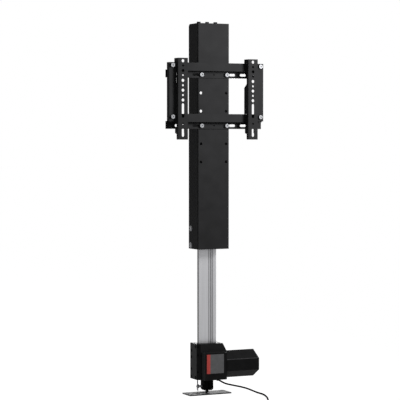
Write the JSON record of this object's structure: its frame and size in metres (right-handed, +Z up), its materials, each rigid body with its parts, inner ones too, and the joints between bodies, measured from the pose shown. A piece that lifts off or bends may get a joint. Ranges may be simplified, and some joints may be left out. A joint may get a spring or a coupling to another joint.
{
  "type": "tv lift mechanism",
  "caption": "Motorised lift: a worm-driven screw in an aluminium column raises a folded steel sleeve with slotted rails and hook-on arms for a flat screen.",
  "frame": {"origin": "centre of the base plate's underside, below the clevis pin", "axes": "+X to the right towards the motor's end, +Y to the back, +Z up along the column; the screen hangs on the -Y side"},
  "size_m": [0.273, 0.3662, 0.9745],
  "materials": {
    "black_powder_coat": "fine matt powder coat",
    "black_moulding": "fine moulded texture",
    "zinc_steel": "bright zinc plate",
    "plate_steel": "satin",
    "bare_alloy": "satin anodised",
    "nylon": "natural nylon",
    "tool_steel": "machined",
    "bronze": "machined",
    "iron_copper": "wound laminations",
    "magnet": "matt",
    "label_film": "satin film with a plain red band",
    "circuit_board": "solder mask",
    "cable_jacket": "matt"
  },
  "bodies": {
    "foot": {"base_plate": "plate_steel", "clevis_pin": "zinc_steel", "hairpin_clip": "zinc_steel"},
    "actuator": {"rear_fork": "black_moulding", "gearbox_housing": "black_moulding", "gearbox_cover": "black_moulding", "cover_screws": "black_powder_coat", "front_housing": "black_moulding", "blank_label": "label_film", "limit_board": "circuit_board", "motor_cover": "black_moulding", "motor_end_cap": "black_moulding", "motor_can": "zinc_steel", "motor_magnets": "magnet", "motor_end_bell": "black_moulding", "motor_brushes": "magnet", "worm_bearings": "zinc_steel", "screw_bearings": "zinc_steel", "column": "bare_alloy", "column_screws": "zinc_steel", "column_slider": "nylon", "slider_screws": "zinc_steel", "cable_gland": "cable_jacket", "motor_cable": "cable_jacket", "cable_coil": "cable_jacket", "coil_tie": "black_moulding", "cable_plug": "black_moulding"},
    "screw": {"worm_wheel": "bronze", "lead_screw": "tool_steel"},
    "rotor": {"motor_shaft": "tool_steel", "armature": "iron_copper", "worm": "tool_steel"},
    "lift": {"sleeve": "black_powder_coat", "head_block": "plate_steel", "top_screws": "black_powder_coat", "push_tube": "zinc_steel", "drive_nut": "nylon", "guide_block_left": "nylon", "guide_block_right": "nylon", "guide_screws": "zinc_steel", "upper_rail": "black_powder_coat", "lower_rail": "black_powder_coat", "rail_bolts": "zinc_steel", "rail_nuts": "zinc_steel", "left_upright": "black_powder_coat", "right_upright": "black_powder_coat", "upright_bolts": "zinc_steel", "upright_nuts": "zinc_steel"},
    "left_hanger": {"left_arm": "black_powder_coat"},
    "right_hanger": {"right_arm": "black_powder_coat"}
  },
  "joints": [
    {"name": "foot_pivot", "type": "hinge", "parent": "foot", "child": "actuator", "pos_m": [0, 0, 0.021], "axis": [1, 0, 0], "range_deg": [-8, 8]},
    {"name": "lift", "type": "slide", "parent": "actuator", "child": "lift", "axis": [0, 0, 1], "range_m": [-0.244, 0.256]},
    {"name": "screw_spin", "type": "hinge", "parent": "actuator", "child": "screw", "pos_m": [0, 0.008, 0.077], "axis": [0, 0, 1], "continuous": true},
    {"name": "motor_spin", "type": "hinge", "parent": "actuator", "child": "rotor", "pos_m": [0, -0.01, 0.077], "axis": [1, 0, 0], "continuous": true},
    {"name": "left_arm_slide", "type": "slide", "parent": "lift", "child": "left_hanger", "axis": [1, 0, 0], "range_m": [0, 0.05]},
    {"name": "right_arm_slide", "type": "slide", "parent": "lift", "child": "right_hanger", "axis": [-1, 0, 0], "range_m": [0, 0.05]}
  ],
  "couplings": [
    {"joint": "screw_spin", "follows": "lift", "rad_per_m": -523.6},
    {"joint": "motor_spin", "follows": "lift", "rad_per_m": 5236}
  ]
}
